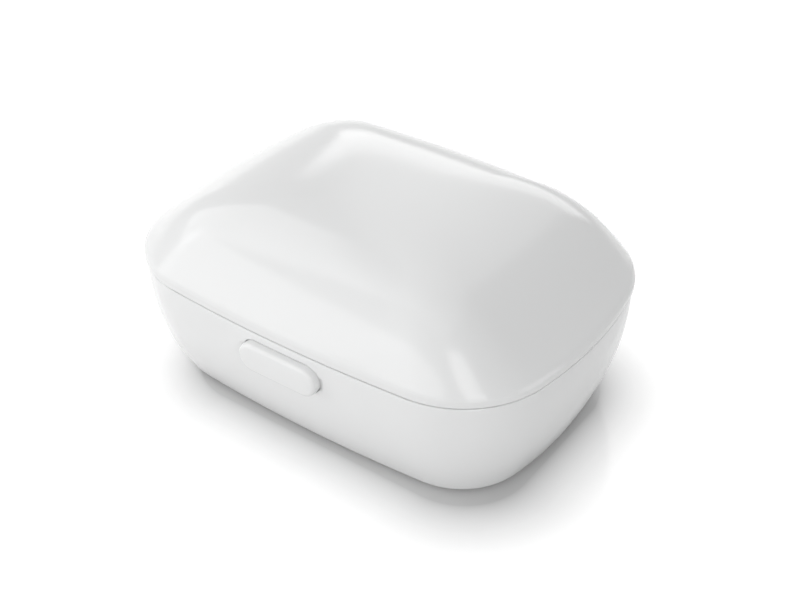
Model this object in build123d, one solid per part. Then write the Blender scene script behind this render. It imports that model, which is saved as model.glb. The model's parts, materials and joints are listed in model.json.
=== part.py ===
from build123d import *
import os
from math import cos, hypot, radians, sin

# Hearing aid charger: a two-part case with a front release button, in millimetres.
# +Z is up, the button is on the -Y side, and X runs along the case.
# The origin is on the table, below the middle of the whole charger.

# Case form
case_length = 100.0
case_width = 71.2
corner_radius = 21.15
end_bow = 1.25
side_bow = 1.1
seam_height = 28.1
seam_gap = 0.25
rim_step = 0.25
wall = 2.0

# Base form, which draws in towards the table
foot_gap = 0.6
foot_inset_length = 6.05
foot_inset_width = 7.2
foot_power = 2.305
foot_edge_radius = 1.0

# Lid form, a pillow whose corners tighten on the way up and melt into the crown
rim_band = 2.5
lid_rise = 16.25
shoulder_power = 4.0
shoulder_root = 1.01
end_lead = 0.814
corner_fade = 2.6
crown_round = 1.7
roundest_corner = 0.93
lid_steps = 12
lid_last_angle = 88.0

# Lid skin and pads
liner_gap = 0.3
liner_wall = 1.2
liner_start = 0.8
pad_length = 22.0
pad_width = 9.0
pad_height = 7.7
pad_edge = 1.5

# Bottom cover, feet and battery
cover_rim = 1.8
cover_thickness = 2.0
cover_clearance = 0.15
ledge_width = 3.2
ledge_thickness = 1.6
foot_radius = 4.0
foot_thickness = 1.2
foot_from_end = 22.7
foot_from_side = 9.15
foot_clearance = 0.1
battery_length = 46.0
battery_width = 30.0
battery_room = 1.9
battery_edge = 1.2
battery_clearance = 0.3
battery_rib = 1.0
battery_rib_height = 3.0

# Posts and screws
post_inset_x = 10.4
post_inset_y = 9.35
post_radius = 3.0
screw_radius = 0.8
screw_clearance = 0.05
screw_head_radius = 1.6
screw_head_height = 1.0
screw_head_clearance = 0.15
screw_slot = 0.5
screw_slot_share = 0.6
case_screw_length = 7.0
board_screw_length = 5.0

# Charging tray
tray_drop = 1.95
tray_thickness = 2.0
tray_clearance = 0.2
shelf_width = 1.5
shelf_thickness = 1.2
well_from_end = 29.0
well_length = 36.0
well_width = 13.0
well_depth = 12.6
well_wall = 1.2
well_floor_radius = 3.0
pocket_from_end = 13.8
pocket_y = 1.0
pocket_radius = 5.6
pocket_depth = 6.0
channel_width = 3.6
channel_depth = 3.0
boss_radius = 2.2
boss_from_well = 12.0
boss_from_edge = 12.5
boss_from_back = 7.5

# Circuit board and what stands on it
board_to_post = 1.3
board_from_front = 9.1
board_from_back = 7.1
board_thickness = 1.2
board_below_well = 2.0
board_corner = 2.0
pin_spread = 8.0
pin_radius = 0.9
plunger_radius = 0.5
plunger_reach = 0.8
pin_clearance = 0.1
light_spread = 6.0
light_from_front = 3.5
light_width = 1.6
light_height = 0.6
pipe_radius = 1.0
pipe_flange_radius = 1.7
pipe_flange = 0.8
pipe_gap = 0.2
pipe_clearance = 0.08
controller_size = 7.0
controller_height = 1.0
controller_y = -4.0
driver_length = 5.0
driver_width = 4.0
driver_y = 13.5
coil_size = 5.0
coil_height = 2.6
coil_y = 6.0
capacitor_length = 1.8
capacitor_width = 0.9
capacitor_height = 1.0
capacitor_x = 5.0
capacitor_pitch = 3.0

# Power inlet
socket_width = 8.94
socket_height = 3.16
socket_depth = 7.3
socket_corner = 1.5
socket_skin = 0.3
socket_recess = 0.5
socket_clearance = 0.35
tongue_width = 6.7
tongue_height = 0.7
tongue_length = 4.6

# Release button, with its ears and springs
button_length = 19.3
button_height = 6.6
button_below_seam = 5.6
button_proud = 2.0
button_edge = 0.7
button_clearance = 0.15
button_travel = 1.3
button_seat = 0.4
seat_half_length = 13.0
seat_low = 17.8
ear_gap = 0.1
ear_thickness = 0.8
ear_reach = 2.0
ear_low_drop = 2.8
ear_high_rise = 1.0
stem_half_width = 5.0
stem_rise = 2.8
spring_x = 8.8
spring_drop = 1.2
spring_length = 5.0
spring_radius = 1.25
spring_wire = 0.4
spring_turns = 5.0
spring_end_gap = 0.1
spring_rib = 1.2
spring_rib_half = 11.0
peg_radius = 0.7
peg_length = 1.2
moving_clearance = 0.5

# Catch: the base's lip and the lid's springy hook
lip_half_width = 5.5
lip_depth = 1.9
lip_below_rim = 0.65
lip_thickness = 1.2
hook_half_width = 5.0
hook_thickness = 0.6
hook_gap = 0.4
hook_grip = 0.7
hook_under_lip = 0.25
hook_nose_height = 1.45
hook_top = 4.6
hook_boss_margin = 1.5
hook_boss_start = 0.4
catch_screw_x = 2.8
catch_screw_height = 2.8
catch_screw_radius = 0.65
catch_screw_length = 1.9
catch_screw_head_radius = 1.2
catch_screw_head = 0.6
window_half_width = 8.0
window_depth = 9.0
window_height = 7.0

# Hinge
barrel_radius = 1.8
barrel_proud = 0.9
barrel_gap = 0.3
hinge_half_length = 26.0
outer_knuckle_length = 7.5
knuckle_gap = 0.3
spring_bay_half = 4.2
hinge_block_depth = 4.0
hinge_block_height = 4.5
knuckle_back = 0.7
pin_running_clearance = 0.05
hinge_pin_radius = 0.75
hinge_pin_short = 0.4
hinge_spring_radius = 1.25
hinge_spring_wire = 0.42
hinge_spring_pitch = 0.75
hinge_spring_turns = 8.0
base_leg = 4.6
lid_leg = 3.0
leg_thicker = 0.02
leg_clearance = 0.3

# Places that follow from the sizes above
base_top = seam_height - seam_gap
half_length = case_length / 2
half_width = case_width / 2
foot_half_length = half_length - rim_step - foot_inset_length
foot_half_width = half_width - rim_step - foot_inset_width
post_x = foot_half_length - post_inset_x
post_y = foot_half_width - post_inset_y
foot_x = foot_half_length - foot_from_end
foot_y = foot_half_width - foot_from_side
well_x = half_length - well_from_end
pocket_x = half_length - pocket_from_end
cover_top = foot_gap + cover_thickness
ledge_top = cover_top + ledge_thickness
tray_top = base_top - tray_drop
tray_low = tray_top - tray_thickness
well_floor = tray_top - well_depth
well_low = well_floor - well_wall
board_top = well_low - board_below_well
board_low = board_top - board_thickness
board_length = 2 * (post_x - post_radius - board_to_post)
board_front_y = board_from_front - half_width
board_back_y = half_width - board_from_back
boss_x = well_x - boss_from_well
boss_front_y = board_front_y + boss_from_edge
boss_back_y = board_back_y - boss_from_back
light_y = board_front_y + light_from_front
battery_height = board_low - cover_top - battery_room
button_z = seam_height - button_below_seam
hinge_y = half_width + barrel_proud - barrel_radius
hinge_z = seam_height - seam_gap / 2
over = 1.0


def base_draw_in(height):
    """Share of the foot inset at a height: 0 at the seam, 1 at the foot."""
    return ((base_top - height) / (base_top - foot_gap)) ** foot_power


# Front wall, button seat and catch, from outside to inside
front_wall_y = -(half_width - rim_step - foot_inset_width * base_draw_in(button_z))
button_front_y = front_wall_y - button_proud
seat_y = front_wall_y + wall + button_seat
ear_front_y = seat_y + ear_gap
ear_back_y = ear_front_y + ear_thickness
lip_y = seat_y + lip_depth
hook_nose_y = lip_y - hook_grip
hook_front_y = lip_y + hook_gap
hook_back_y = hook_front_y + hook_thickness
lip_top = base_top - lip_below_rim
lip_low = lip_top - lip_thickness
hook_nose_top = lip_low - hook_under_lip
hook_low = hook_nose_top - hook_nose_height
hook_high = seam_height + hook_top
spring_z = button_z - spring_drop
spring_rib_y = ear_back_y + spring_length
middle_y = (-button_front_y - (hinge_y + barrel_radius)) / 2


def plan_wire(length_half, width_half, corner, bow_x, bow_y, height):
    """Level outline: four bulging sides joined by four tangent corner arcs."""
    corner_x = length_half - corner - bow_x
    corner_y = width_half - corner - bow_y
    side = (corner_x**2 + (corner + bow_y) ** 2 - corner**2) / (2 * bow_y)
    end = (corner_y**2 + (corner + bow_x) ** 2 - corner**2) / (2 * bow_x)
    side_share = side / (side - corner)
    end_share = end / (end - corner)
    side_x = corner_x * side_share
    side_y = width_half - side + (corner_y - width_half + side) * side_share
    end_x = length_half - end + (corner_x - length_half + end) * end_share
    end_y = corner_y * end_share
    lean_x = side_x - corner_x + end_x - corner_x
    lean_y = side_y - corner_y + end_y - corner_y
    lean = corner / hypot(lean_x, lean_y)
    mid_x = corner_x + lean_x * lean
    mid_y = corner_y + lean_y * lean
    points = [
        (end_x, -end_y), (length_half, 0), (end_x, end_y), (mid_x, mid_y),
        (side_x, side_y), (0, width_half), (-side_x, side_y), (-mid_x, mid_y),
        (-end_x, end_y), (-length_half, 0), (-end_x, -end_y), (-mid_x, -mid_y),
        (-side_x, -side_y), (0, -width_half), (side_x, -side_y), (mid_x, -mid_y),
    ]
    points.append(points[0])
    arcs = [ThreePointArc(*points[i : i + 3]) for i in range(0, 16, 2)]
    return Pos(0, 0, height) * Wire(arcs)


def base_wire(inset, height):
    """Outline of the base at a height, a given distance inside its outer face."""
    draw_in = base_draw_in(height)
    return plan_wire(
        half_length - rim_step - foot_inset_length * draw_in - inset,
        half_width - rim_step - foot_inset_width * draw_in - inset,
        corner_radius - foot_inset_length * draw_in - inset,
        end_bow,
        side_bow,
        height,
    )


def base_form(inset, low, high, steps=8):
    """Solid between two heights that keeps a distance from the base's outer face."""
    heights = [low + (high - low) * i / steps for i in range(steps + 1)]
    return Solid.make_loft([base_wire(inset, height) for height in heights])


def foot_plate(inset, low, high):
    """Straight-sided plate with the outline of the foot."""
    outline = Face(base_wire(inset, foot_gap))
    return Pos(0, 0, low - foot_gap) * extrude(outline, high - low, dir=(0, 0, 1))


def lid_wire(inset, angle):
    """One level outline of the lid, from 0 degrees above the rim band to the crown."""
    reach = cos(radians(angle)) ** (2 / shoulder_power)
    share = 1 - reach
    rise = (lid_rise - inset) * sin(radians(angle)) ** (2 / shoulder_root)
    width_here = (half_width - inset) * reach
    rim_corner = (corner_radius - inset) / (half_width - inset)
    roundness = rim_corner * reach**corner_fade + share**crown_round
    return plan_wire(
        (half_length - inset) * (1 - share**end_lead),
        width_here,
        width_here * min(roundness, roundest_corner),
        end_bow * reach,
        side_bow * reach,
        seam_height + rim_band + rise,
    )


def lid_form(inset):
    """Solid of the lid's outer form, or of one that lies a wall inside it."""
    angles = [lid_last_angle * i / lid_steps for i in range(lid_steps + 1)]
    curved = [lid_wire(inset, angle) for angle in angles]
    band = Pos(0, 0, -rim_band) * extrude(Face(curved[0]), rim_band, dir=(0, 0, 1))
    return band + Solid.make_loft(curved)


def block(x_from, x_to, y_from, y_to, z_from, z_to):
    """Box between two corners."""
    centre = Pos((x_from + x_to) / 2, (y_from + y_to) / 2, (z_from + z_to) / 2)
    return centre * Box(x_to - x_from, y_to - y_from, z_to - z_from)


def rod(radius, x, y, low, high):
    """Upright cylinder."""
    return Pos(x, y, (low + high) / 2) * Cylinder(radius, high - low)


def rod_x(radius, x_from, x_to, y, z):
    """Cylinder along X."""
    return Pos((x_from + x_to) / 2, y, z) * Rot(0, 90, 0) * Cylinder(radius, x_to - x_from)


def rod_y(radius, x, y_from, y_to, z):
    """Cylinder along Y."""
    return Pos(x, (y_from + y_to) / 2, z) * Rot(90, 0, 0) * Cylinder(radius, y_to - y_from)


def slot_y(length, height, x, z, y_from, y_to):
    """Bar with a stadium section in the XZ plane, along Y."""
    plane = Plane(origin=(x, y_from, z), x_dir=(1, 0, 0), z_dir=(0, 1, 0))
    return extrude(plane * SlotOverall(length, height), y_to - y_from)


def well_block(length, width, x, low, high):
    """Upright block with a stadium section, long along Y."""
    return Pos(x, 0, low) * extrude(SlotOverall(length, width, rotation=90), high - low)


def screw(radius, length, head_radius, head_height):
    """Screw along Z: the head's underside is at 0 and the shank goes down."""
    head = rod(head_radius, 0, 0, 0, head_height)
    shank = rod(radius, 0, 0, -length, 0)
    half = head_radius * screw_slot_share
    slot = screw_slot / 2
    cross = block(-half, half, -slot, slot, head_height / 2, head_height + over)
    cross += block(-slot, slot, -half, half, head_height / 2, head_height + over)
    return head + shank - cross


def coil(radius, wire, pitch, turns, place):
    """Round wire wound about the Z axis of a place."""
    path = Helix(pitch=pitch, height=pitch * turns, radius=radius)
    section = Plane(origin=path @ 0, z_dir=path % 0) * Circle(wire / 2)
    return place * sweep(section, path=path, is_frenet=True)


def corners(x, y):
    """The four places of a pattern that is the same front and back, left and right."""
    return [(sx * x, sy * y) for sx in (-1, 1) for sy in (-1, 1)]


def both(x):
    """A place and its mirror place."""
    return (-x, x)


# Hinge stations along X: outer knuckles are the base's, inner ones the lid's
outer_knuckle_start = hinge_half_length - outer_knuckle_length
lid_knuckle_end = outer_knuckle_start - knuckle_gap
barrel_cut = barrel_radius + barrel_gap
bore_radius = hinge_pin_radius + pin_running_clearance
notch_top = hinge_z + barrel_cut
block_front_y = hinge_y + barrel_proud - hinge_block_depth


def knuckle(x_from, x_to, web_low, web_high):
    """Hinge knuckle with the web that joins it to its shell."""
    barrel = rod_x(barrel_radius, x_from, x_to, hinge_y, hinge_z)
    web_y = hinge_y + knuckle_back
    return barrel + block(x_from, x_to, hinge_y - barrel_radius, web_y, web_low, web_high)


def make_base_shell():
    shell = base_form(0, foot_gap, base_top)
    foot_edges = shell.edges().group_by(Axis.Z)[0]
    shell = shell.fillet(foot_edge_radius, foot_edges)
    shell -= base_form(wall, ledge_top, base_top)
    shell -= foot_plate(cover_rim, foot_gap - over, cover_top)
    shell -= foot_plate(cover_rim + ledge_width, foot_gap, ledge_top + over)
    # Shelf and posts that carry the tray
    shelf_low = tray_low - shelf_thickness
    shelf = base_form(wall / 2, shelf_low, tray_low, steps=2)
    shelf -= base_form(wall + shelf_width, shelf_low, tray_low, steps=2)
    shell += shelf
    for x, y in corners(post_x, post_y):
        shell += rod(post_radius, x, y, cover_top, tray_low)
    for x, y in corners(post_x, post_y):
        hole = screw_radius + screw_clearance
        shell -= rod(hole, x, y, cover_top - over, cover_top + case_screw_length)
        shell -= rod(hole, x, y, tray_low - case_screw_length, tray_low + over)
    # Seat of the button, its opening and the lip of the catch
    seat = block(-seat_half_length, seat_half_length, -half_width, seat_y, seat_low, base_top)
    shell += seat & base_form(0, seat_low - over, base_top)
    mouth = button_length + 2 * button_clearance
    mouth_height = button_height + 2 * button_clearance
    shell -= slot_y(mouth, mouth_height, 0, button_z, button_front_y, seat_y + over)
    room = button_length / 2 + ear_reach + moving_clearance
    shell -= block(-room, room, seat_y, hook_back_y + over, shelf_low - over, tray_low + over)
    shell += block(-lip_half_width, lip_half_width, seat_y - over, lip_y, lip_low, lip_top)
    # Hinge block, grooves for the lid's knuckles and the base's own knuckles
    hinge_low = base_top - hinge_block_height
    hinge_body = block(
        -hinge_half_length, hinge_half_length, block_front_y, hinge_y + over, hinge_low, base_top
    )
    shell += hinge_body & base_form(0, hinge_low - over, base_top)
    groove = lid_knuckle_end + knuckle_gap
    shell -= rod_x(barrel_cut, -groove, groove, hinge_y, hinge_z)
    for side in (-1, 1):
        ends = sorted((side * outer_knuckle_start, side * hinge_half_length))
        shell += knuckle(*ends, base_top - barrel_radius, hinge_z)
    shell -= rod_x(bore_radius, -half_length, half_length, hinge_y, hinge_z)
    leg_room = hinge_spring_wire / 2 + leg_clearance
    leg_y = hinge_y - hinge_spring_radius
    leg_x = -hinge_spring_pitch * hinge_spring_turns / 2
    shell -= block(
        leg_x - leg_room, leg_x + leg_room, leg_y - leg_room, leg_y + leg_room,
        hinge_z - base_leg - leg_clearance, base_top + over,
    )
    # Opening of the power inlet
    opening_width = socket_width + 2 * socket_clearance
    opening_height = socket_height + 2 * socket_clearance
    socket_z = board_top + socket_height / 2
    shell -= slot_y(opening_width, opening_height, 0, socket_z, board_back_y - over, half_width)
    return shell


def make_lid_shell():
    shell = lid_form(0) - lid_form(wall)
    # Boss that holds the hook
    boss_half = hook_half_width + hook_boss_margin
    boss = block(
        -boss_half, boss_half, -half_width, hook_front_y,
        seam_height + hook_boss_start, hook_high,
    )
    shell += boss & lid_form(0)
    for x in both(catch_screw_x):
        hole = catch_screw_radius + screw_clearance
        reach = hook_front_y - catch_screw_length
        shell -= rod_y(hole, x, reach, hook_front_y + over, seam_height + catch_screw_height)
    # Notch over the barrel, thicker wall above it and the lid's knuckles
    notch_half = hinge_half_length + 2 * knuckle_gap
    notch_front = hinge_y - barrel_cut
    shell += block(
        -hinge_half_length, hinge_half_length, block_front_y, half_width,
        notch_top, notch_top + hinge_block_height,
    ) & lid_form(0)
    shell -= block(
        -notch_half, notch_half, notch_front, half_width + over, seam_height - over, notch_top
    )
    for side in (-1, 1):
        ends = sorted((side * spring_bay_half, side * lid_knuckle_end))
        shell += knuckle(*ends, hinge_z, notch_top + knuckle_gap)
    shell -= rod_x(bore_radius, -lid_knuckle_end, lid_knuckle_end, hinge_y, hinge_z)
    leg_room = hinge_spring_wire / 2 + leg_clearance
    leg_y = hinge_y - hinge_spring_radius
    leg_x = hinge_spring_pitch * hinge_spring_turns / 2
    shell -= block(
        leg_x - leg_room, leg_x + leg_room, leg_y - leg_room, leg_y + leg_room,
        seam_height - over, hinge_z + lid_leg + leg_clearance,
    )
    return shell


def make_lid_liner():
    outside = wall + liner_gap
    liner = lid_form(outside) - lid_form(outside + liner_wall)
    liner -= block(
        -half_length, half_length, -half_width, half_width,
        seam_height - over, seam_height + liner_start,
    )
    liner -= block(
        -window_half_width, window_half_width, -half_width, -half_width + window_depth,
        seam_height - over, seam_height + window_height,
    )
    # Clear of the hinge block
    liner -= block(
        -hinge_half_length - liner_gap, hinge_half_length + liner_gap,
        block_front_y - liner_gap, half_width,
        seam_height - over, notch_top + hinge_block_height + liner_gap,
    )
    return liner


def make_lid_pads():
    ceiling = lid_form(wall + liner_gap + liner_wall)
    low = seam_height + pad_height
    pads = []
    for x in both(well_x):
        pad = well_block(pad_length, pad_width, x, low, seam_height + rim_band + lid_rise)
        pad = pad.fillet(pad_edge, pad.edges().group_by(Axis.Z)[0])
        pads.append(pad & ceiling)
    return pads


def make_lid_catch():
    hook = block(-hook_half_width, hook_half_width, hook_front_y, hook_back_y, hook_low, hook_high)
    profile = Polyline(
        (hook_front_y, hook_nose_top), (hook_nose_y, hook_nose_top),
        (hook_nose_y, hook_nose_top - hook_nose_height / 2), (hook_front_y, hook_low),
        close=True,
    )
    plane = Plane(origin=(-hook_half_width, 0, 0), x_dir=(0, 1, 0), z_dir=(1, 0, 0))
    hook += extrude(plane * make_face(profile), 2 * hook_half_width)
    for x in both(catch_screw_x):
        hole = catch_screw_radius + screw_clearance
        z = seam_height + catch_screw_height
        hook -= rod_y(hole, x, hook_front_y - over, hook_back_y + over, z)
    return hook


def make_catch_screws():
    one = screw(
        catch_screw_radius, catch_screw_length + hook_thickness - screw_clearance,
        catch_screw_head_radius, catch_screw_head,
    )
    place = Pos(0, hook_back_y, seam_height + catch_screw_height) * Rot(-90, 0, 0)
    return [Pos(x, 0, 0) * place * one for x in both(catch_screw_x)]


def make_release_button():
    button = slot_y(button_length, button_height, 0, button_z, button_front_y, ear_back_y)
    button = button.fillet(button_edge, button.edges().group_by(Axis.Y)[0])
    ear_half = button_length / 2 + ear_reach
    ear_low = button_z - ear_low_drop
    button += block(
        -ear_half, ear_half, ear_front_y, ear_back_y, ear_low, button_z + ear_high_rise
    )
    # Behind the seat only the stem stands above the ears, so that it meets the hook
    trim_low = button_z + ear_high_rise
    for side in (-1, 1):
        x_from, x_to = sorted((side * stem_half_width, side * ear_half))
        button -= block(x_from, x_to, ear_front_y, ear_back_y + over, trim_low, base_top)
    button -= block(
        -stem_half_width, stem_half_width, ear_front_y, ear_back_y + over,
        button_z + stem_rise, base_top,
    )
    for x in both(spring_x):
        button += rod_y(peg_radius, x, ear_back_y - ear_thickness / 2, ear_back_y + peg_length, spring_z)
    return button


def make_button_springs():
    pitch = (spring_length - spring_wire - 2 * spring_end_gap) / spring_turns
    place = Pos(0, ear_back_y + spring_end_gap + spring_wire / 2, spring_z) * Rot(-90, 0, 0)
    return [
        coil(spring_radius, spring_wire, pitch, spring_turns, Pos(x, 0, 0) * place)
        for x in both(spring_x)
    ]


def make_hinge_spring():
    reach = hinge_spring_pitch * hinge_spring_turns
    # The winding starts and ends on the inner side, where its two legs leave it
    place = Pos(-reach / 2, hinge_y, hinge_z) * Rot(0, 90, 0) * Rot(0, 0, -90)
    spring = coil(
        hinge_spring_radius, hinge_spring_wire, hinge_spring_pitch, hinge_spring_turns, place
    )
    leg_y = hinge_y - hinge_spring_radius
    leg_radius = hinge_spring_wire / 2 + leg_thicker
    spring += rod(leg_radius, -reach / 2, leg_y, hinge_z - base_leg, hinge_z)
    spring += rod(leg_radius, reach / 2, leg_y, hinge_z, hinge_z + lid_leg)
    return spring


def make_charging_tray():
    tray = base_form(wall + tray_clearance, tray_low, tray_top, steps=2)
    for x in both(well_x):
        outside = well_length + 2 * well_wall
        tray += well_block(outside, well_width + 2 * well_wall, x, well_low, tray_low + over / 2)
    for x in both(pocket_x):
        tray += rod(pocket_radius + well_wall, x, pocket_y, tray_top - pocket_depth - well_wall, tray_low)
    # Hollows for the aids, joined by a channel on each side
    for x in both(well_x):
        hollow = well_block(well_length, well_width, x, well_floor, tray_top + over)
        floor_edges = hollow.edges().group_by(Axis.Z)[0]
        tray -= hollow.fillet(well_floor_radius, floor_edges)
    for x in both(pocket_x):
        tray -= rod(pocket_radius, x, pocket_y, tray_top - pocket_depth, tray_top + over)
        x_from, x_to = sorted((x, x * well_x / pocket_x))
        tray -= block(
            x_from, x_to, pocket_y - channel_width / 2, pocket_y + channel_width / 2,
            tray_top - channel_depth, tray_top + over,
        )
    # Bosses for the board and the rib behind the button's springs
    for x in both(boss_x):
        for y in (boss_front_y, boss_back_y):
            tray += rod(boss_radius, x, y, board_top, tray_low)
            hole = screw_radius + screw_clearance
            tray -= rod(hole, x, y, board_top - over, board_top + board_screw_length)
    rib_low = spring_z - spring_radius - spring_wire
    tray += block(
        -spring_rib_half, spring_rib_half, spring_rib_y, spring_rib_y + spring_rib, rib_low, tray_low
    )
    # Holes for contacts, light pipes and screws
    for x in both(well_x):
        for y in both(pin_spread / 2):
            tray -= rod(pin_radius + pin_clearance, x, y, well_low - over, well_floor + over)
    for x in (-light_spread, 0, light_spread):
        tray -= rod(pipe_radius + pipe_clearance, x, light_y, tray_low - over, tray_top + over)
    for x, y in corners(post_x, post_y):
        tray -= rod(screw_radius + screw_clearance, x, y, tray_low - over, tray_top)
        seat = screw_head_radius + screw_head_clearance
        tray -= rod(seat, x, y, tray_top - screw_head_height - screw_head_clearance, tray_top + over)
    # Clear of the hinge block, the button's seat and the hook
    tray -= block(
        -hinge_half_length - tray_clearance, hinge_half_length + tray_clearance,
        block_front_y - tray_clearance, half_width, tray_low - over, tray_top + over,
    )
    clear = moving_clearance
    tray -= block(
        -seat_half_length - tray_clearance, seat_half_length + tray_clearance,
        -half_width, seat_y + tray_clearance, tray_low - over, tray_top + over,
    )
    tray -= block(
        -lip_half_width - clear, lip_half_width + clear, -half_width,
        hook_back_y + button_travel - moving_clearance / 2, tray_low - over, tray_top + over,
    )
    button_room = button_length / 2 + clear
    tray -= block(
        -button_room, button_room, -half_width, ear_front_y + button_travel + clear / 2,
        tray_low - over, tray_top + over,
    )
    return tray


def make_tray_screws():
    one = screw(screw_radius, case_screw_length, screw_head_radius, screw_head_height)
    under_head = tray_top - screw_head_height - screw_head_clearance
    return [Pos(x, y, under_head) * one for x, y in corners(post_x, post_y)]


def make_contact_pins():
    pins = []
    for x in both(well_x):
        for y in both(pin_spread / 2):
            pin = rod(pin_radius, x, y, board_top, well_floor)
            pins.append(pin + rod(plunger_radius, x, y, well_floor, well_floor + plunger_reach))
    return pins


def make_main_board():
    middle = (board_front_y + board_back_y) / 2
    outline = RectangleRounded(board_length, board_back_y - board_front_y, board_corner)
    board = Pos(0, middle, board_low) * extrude(outline, board_thickness)
    for x in both(boss_x):
        for y in (boss_front_y, boss_back_y):
            board -= rod(screw_radius + screw_clearance, x, y, board_low - over, board_top + over)
    return board


def make_board_screws():
    one = screw(
        screw_radius, board_screw_length + board_thickness - screw_head_clearance,
        screw_head_radius, screw_head_height,
    )
    place = Rot(180, 0, 0) * one
    return [
        Pos(x, y, board_low) * place for x in both(boss_x) for y in (boss_front_y, boss_back_y)
    ]


def make_board_chips():
    def chip(size_x, size_y, height, x, y):
        return Pos(x, y, board_top) * extrude(Rectangle(size_x, size_y), height)

    chips = [
        chip(controller_size, controller_size, controller_height, 0, controller_y),
        chip(coil_size, coil_size, coil_height, 0, coil_y),
        chip(driver_length, driver_width, controller_height, 0, driver_y),
    ]
    for x in both(capacitor_x):
        for y in (coil_y, coil_y + capacitor_pitch):
            chips.append(chip(capacitor_length, capacitor_width, capacitor_height, x, y))
    return chips


def make_status_lights():
    flat = Rectangle(light_width, light_width)
    return [
        Pos(x, light_y, board_top) * extrude(flat, light_height)
        for x in (-light_spread, 0, light_spread)
    ]


def make_light_pipes():
    pipes = []
    for x in (-light_spread, 0, light_spread):
        pipe = rod(pipe_radius, x, light_y, board_top + light_height + pipe_gap, tray_top)
        pipes.append(pipe + rod(pipe_flange_radius, x, light_y, tray_low - pipe_flange, tray_low))
    return pipes


def make_usb_socket():
    mouth_y = half_width - rim_step - foot_inset_width * base_draw_in(board_top) - socket_recess
    back_y = mouth_y - socket_depth
    z = board_top + socket_height / 2
    plane = Plane(origin=(0, back_y, z), x_dir=(1, 0, 0), z_dir=(0, 1, 0))
    skin = RectangleRounded(socket_width, socket_height, socket_corner)
    inside = RectangleRounded(
        socket_width - 2 * socket_skin, socket_height - 2 * socket_skin,
        socket_corner - socket_skin,
    )
    socket = extrude(plane * skin, socket_depth)
    socket -= extrude(Pos(0, 2 * socket_skin, 0) * (plane * inside), socket_depth)
    tongue = Rectangle(tongue_width, tongue_height)
    return socket + extrude(plane * tongue, 2 * socket_skin + tongue_length)


def make_battery_pack():
    flat = RectangleRounded(battery_length, battery_width, battery_edge)
    pack = Pos(0, 0, cover_top) * extrude(flat, battery_height)
    return pack.fillet(battery_edge, pack.edges().group_by(Axis.Z)[-1])


def make_bottom_cover():
    cover = foot_plate(cover_rim + cover_clearance, foot_gap, cover_top)
    rib_inside = Rectangle(
        battery_length + 2 * battery_clearance, battery_width + 2 * battery_clearance
    )
    rib_outside = offset(rib_inside, battery_rib)
    cover += Pos(0, 0, cover_top) * extrude(rib_outside - rib_inside, battery_rib_height)
    for x, y in corners(post_x, post_y):
        cover -= rod(screw_radius + screw_clearance, x, y, foot_gap - over, cover_top + over)
        seat = screw_head_radius + screw_head_clearance
        cover -= rod(seat, x, y, foot_gap - over, foot_gap + screw_head_height + screw_head_clearance)
    for x, y in corners(foot_x, foot_y):
        cover -= rod(foot_radius + foot_clearance, x, y, foot_gap - over, foot_thickness)
    return cover


def make_cover_screws():
    one = screw(
        screw_radius, case_screw_length, screw_head_radius, screw_head_height
    )
    under_head = foot_gap + screw_head_height + screw_head_clearance
    return [Pos(x, y, under_head) * Rot(180, 0, 0) * one for x, y in corners(post_x, post_y)]


def make_rubber_feet():
    feet = []
    for x, y in corners(foot_x, foot_y):
        foot = rod(foot_radius, x, y, 0, foot_thickness)
        feet.append(foot.fillet(foot_gap / 2, foot.edges().group_by(Axis.Z)[0]))
    return feet


def make_hinge_pin():
    end = hinge_half_length - hinge_pin_short
    return rod_x(hinge_pin_radius, -end, end, hinge_y, hinge_z)


nodes = {
    "base_shell": make_base_shell,
    "bottom_cover": make_bottom_cover,
    "rubber_feet": make_rubber_feet,
    "cover_screws": make_cover_screws,
    "charging_tray": make_charging_tray,
    "tray_screws": make_tray_screws,
    "contact_pins": make_contact_pins,
    "main_board": make_main_board,
    "board_screws": make_board_screws,
    "board_chips": make_board_chips,
    "status_lights": make_status_lights,
    "light_pipes": make_light_pipes,
    "usb_socket": make_usb_socket,
    "battery_pack": make_battery_pack,
    "button_springs": make_button_springs,
    "hinge_pin": make_hinge_pin,
    "hinge_spring": make_hinge_spring,
    "lid_shell": make_lid_shell,
    "lid_liner": make_lid_liner,
    "lid_pads": make_lid_pads,
    "lid_catch": make_lid_catch,
    "catch_screws": make_catch_screws,
    "release_button": make_release_button,
}

os.makedirs("parts", exist_ok=True)
for name, make in nodes.items():
    made = make()
    solids = made if isinstance(made, list) else [made]
    placed = [Pos(0, middle_y, 0) * solid for whole in solids for solid in whole.solids()]
    export_step(Compound(children=placed), f"parts/{name}.step")
    volume = sum(solid.volume for solid in placed)
    print(f"{name}: {len(placed)} solids, {volume:.1f} mm3")
print(f"case middle y {middle_y:.3f}, hinge y {hinge_y + middle_y:.3f}, hinge z {hinge_z:.3f}")
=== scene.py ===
# %% [markdown]
# # A hearing aid charger
#
# The object is a pebble-shaped case of glossy white plastic. A thin level seam parts the base from the
# lid, and one long push button sits on the front of the base, just under the seam. The machinery was
# built as solids first: this file dresses those solids, lights them and sets up the camera.

import json
import math

import bmesh
import bpy
import numpy as np
from mathutils import Matrix, Vector


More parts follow.
